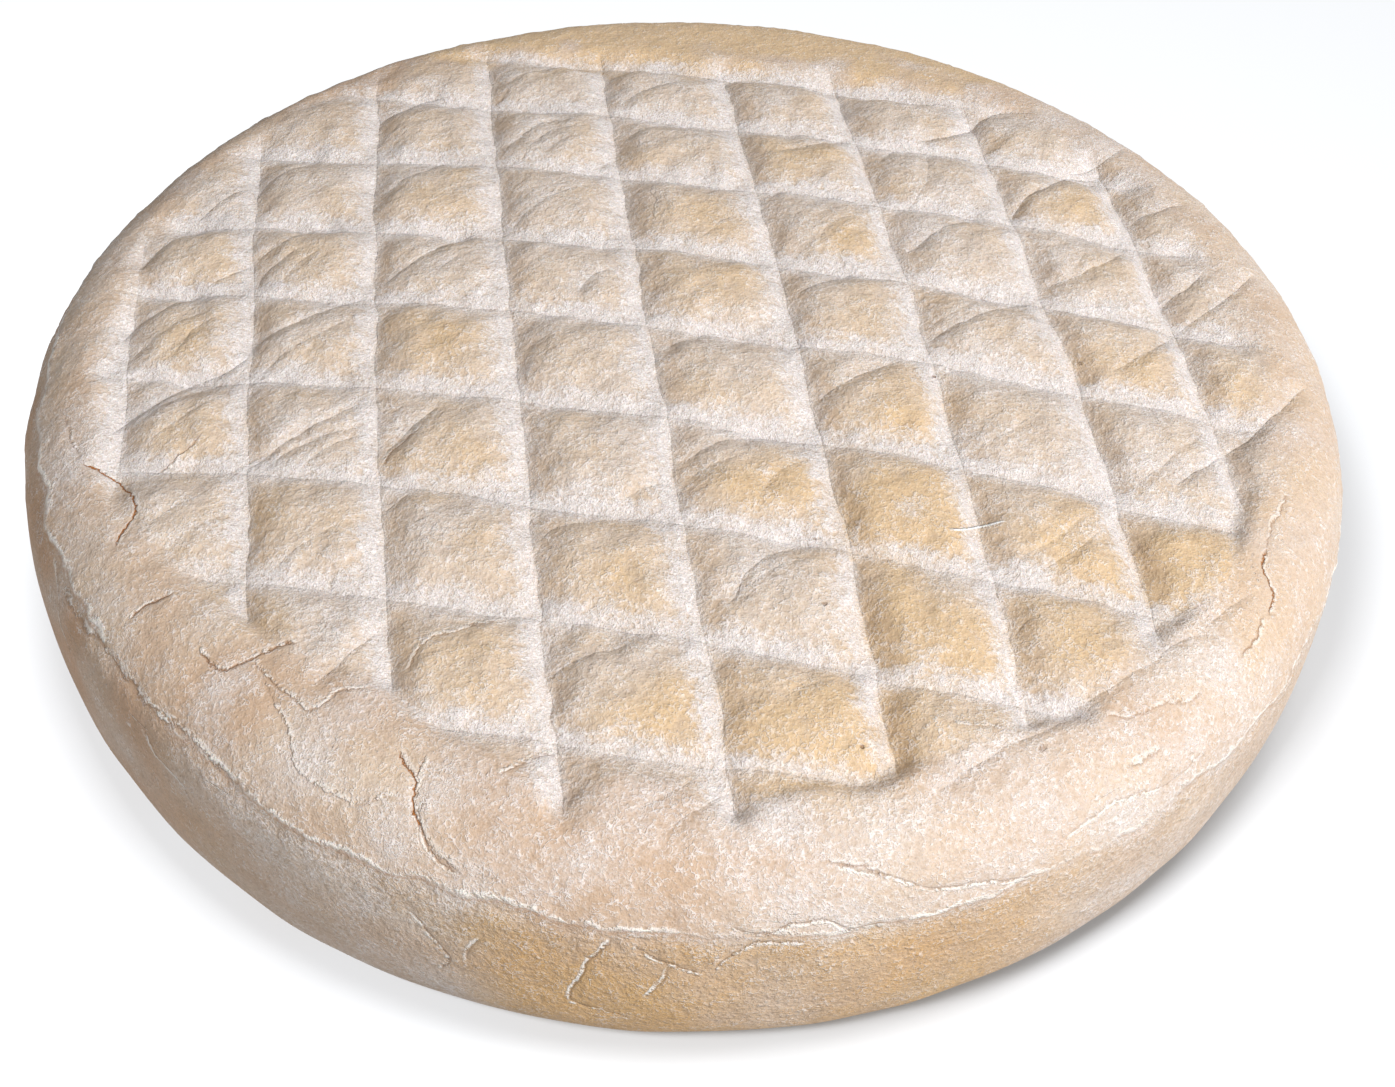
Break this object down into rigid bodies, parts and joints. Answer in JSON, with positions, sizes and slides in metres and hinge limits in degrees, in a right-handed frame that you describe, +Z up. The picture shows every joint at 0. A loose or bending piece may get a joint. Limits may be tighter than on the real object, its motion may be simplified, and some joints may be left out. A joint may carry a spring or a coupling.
{
  "type": "cheese wheel",
  "caption": "Whole round cheese wheel with a natural rind, its domed top quilted by a pressed grid, smooth shoulder, flat foot.",
  "frame": {"origin": "middle of the flat foot, on the surface that the wheel lies on", "axes": "+Z up through the wheel, -Y towards the viewer, +X to the viewer's right"},
  "size_m": [0.2102, 0.2096, 0.0527],
  "materials": {
    "rind": "dry natural rind, ochre under a pale dusty bloom"
  },
  "bodies": {
    "root": {"wheel": "rind"}
  },
  "joints": []
}
